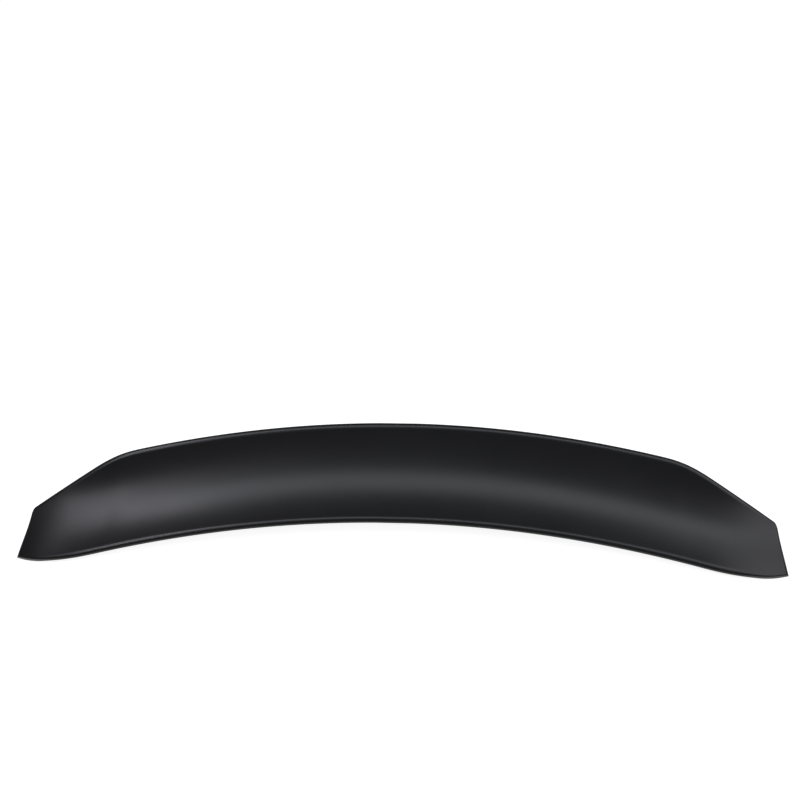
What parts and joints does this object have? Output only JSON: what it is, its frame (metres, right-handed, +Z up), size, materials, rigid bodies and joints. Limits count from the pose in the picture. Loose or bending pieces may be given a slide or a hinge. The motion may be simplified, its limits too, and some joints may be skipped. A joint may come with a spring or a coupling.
{
  "type": "trunk spoiler",
  "caption": "Bonded trunk lid spoiler in black plastic: a long crescent with a concave top face that rises to a lip, falls at the shoulders and ends in thin tips.",
  "frame": {"origin": "middle of the front tape channel's floor, on the spoiler's centre line", "axes": "+X across the car, +Y to the rear of the car, +Z up, away from the trunk lid"},
  "size_m": [1.26, 0.2345, 0.0989],
  "materials": {
    "moulding": "satin moulded skin"
  },
  "bodies": {
    "root": {"spoiler_body": "moulding"}
  },
  "joints": []
}
